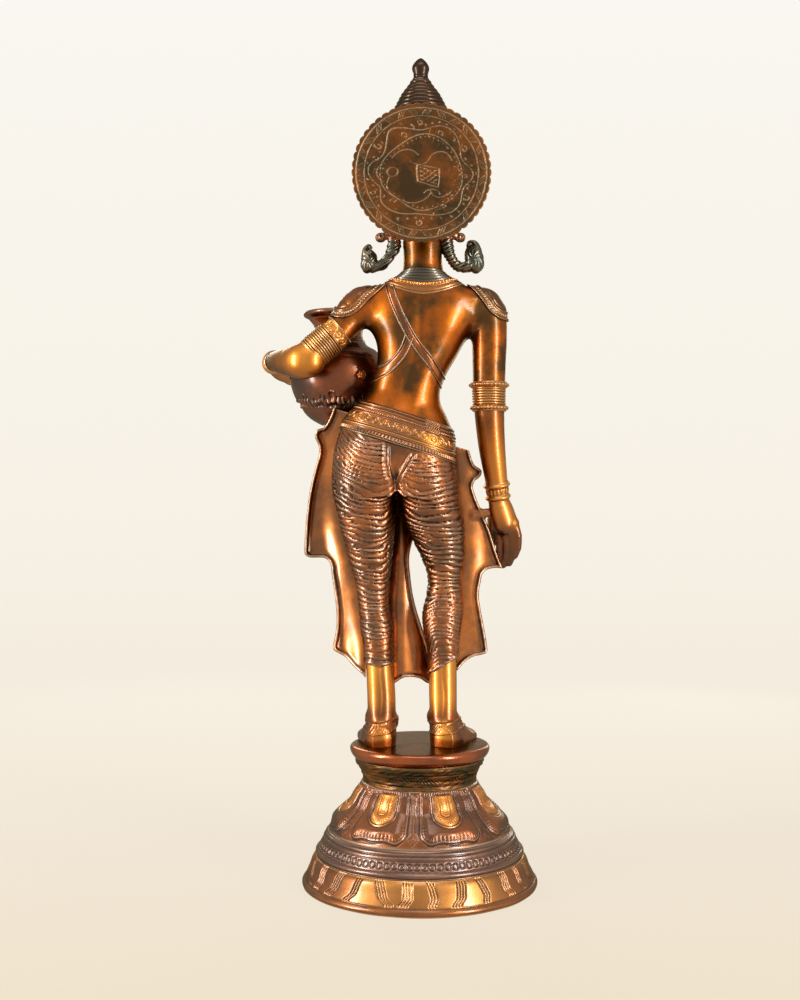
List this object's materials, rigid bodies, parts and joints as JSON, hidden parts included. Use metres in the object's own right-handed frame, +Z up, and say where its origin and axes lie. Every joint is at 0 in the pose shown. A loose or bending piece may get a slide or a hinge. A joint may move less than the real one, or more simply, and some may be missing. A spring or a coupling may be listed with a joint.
{
  "type": "standing figure statue",
  "caption": "Cast brass statue of a standing lady in draped trousers and jewellery, a round water pot held on her hip, with a crown and halo disc, on a round lotus pedestal.",
  "frame": {"origin": "on the floor plane under the middle of the whole statue's bounding box; the pedestal's own axis is 22.1 mm towards -X of it, because the pot arm reaches further out than the other arm", "axes": "+Z up; the lady faces -Y, her left side and the pot are towards +X, and the picture looks along -Y at her back"},
  "size_m": [0.2582, 0.2152, 0.7623],
  "materials": {
    "brown_brass": "glossy brown lacquer over cast brass",
    "gold_brass": "polished golden brass, lacquered",
    "dark_brass": "dark patinated brass with greenish recesses",
    "disc_brass": "satin orange-brown brass, engraved",
    "steel": "zinc-plated fixings under the pedestal"
  },
  "bodies": {
    "root": {"pedestal_foot": "brown_brass", "lotus_base": "brown_brass", "standing_plate": "brown_brass", "left_foot_stud": "steel", "left_foot_washer": "steel", "left_foot_nut": "steel", "right_foot_stud": "steel", "right_foot_washer": "steel", "right_foot_nut": "steel", "left_foot": "gold_brass", "right_foot": "gold_brass", "left_trouser_leg": "brown_brass", "right_trouser_leg": "brown_brass", "hips": "brown_brass", "left_skirt_wing": "brown_brass", "right_skirt_wing": "brown_brass", "centre_fall": "brown_brass", "hip_belt": "gold_brass", "torso": "brown_brass", "long_sash": "brown_brass", "short_sash": "brown_brass", "neck_collar": "dark_brass", "left_shoulder_drape": "brown_brass", "right_shoulder_drape": "brown_brass", "right_upper_arm": "brown_brass", "right_armlet": "gold_brass", "right_forearm": "gold_brass", "right_wrist_bangle": "brown_brass", "right_hand": "gold_brass", "left_upper_arm": "brown_brass", "left_armlet": "gold_brass", "left_forearm": "gold_brass", "left_wrist_bangle": "brown_brass", "left_hand": "gold_brass", "pot": "dark_brass", "pot_knob": "dark_brass", "head": "brown_brass", "crown": "dark_brass", "crown_finial": "dark_brass", "halo_disc": "disc_brass", "halo_stud": "dark_brass", "left_earring": "dark_brass", "right_earring": "dark_brass"}
  },
  "joints": []
}
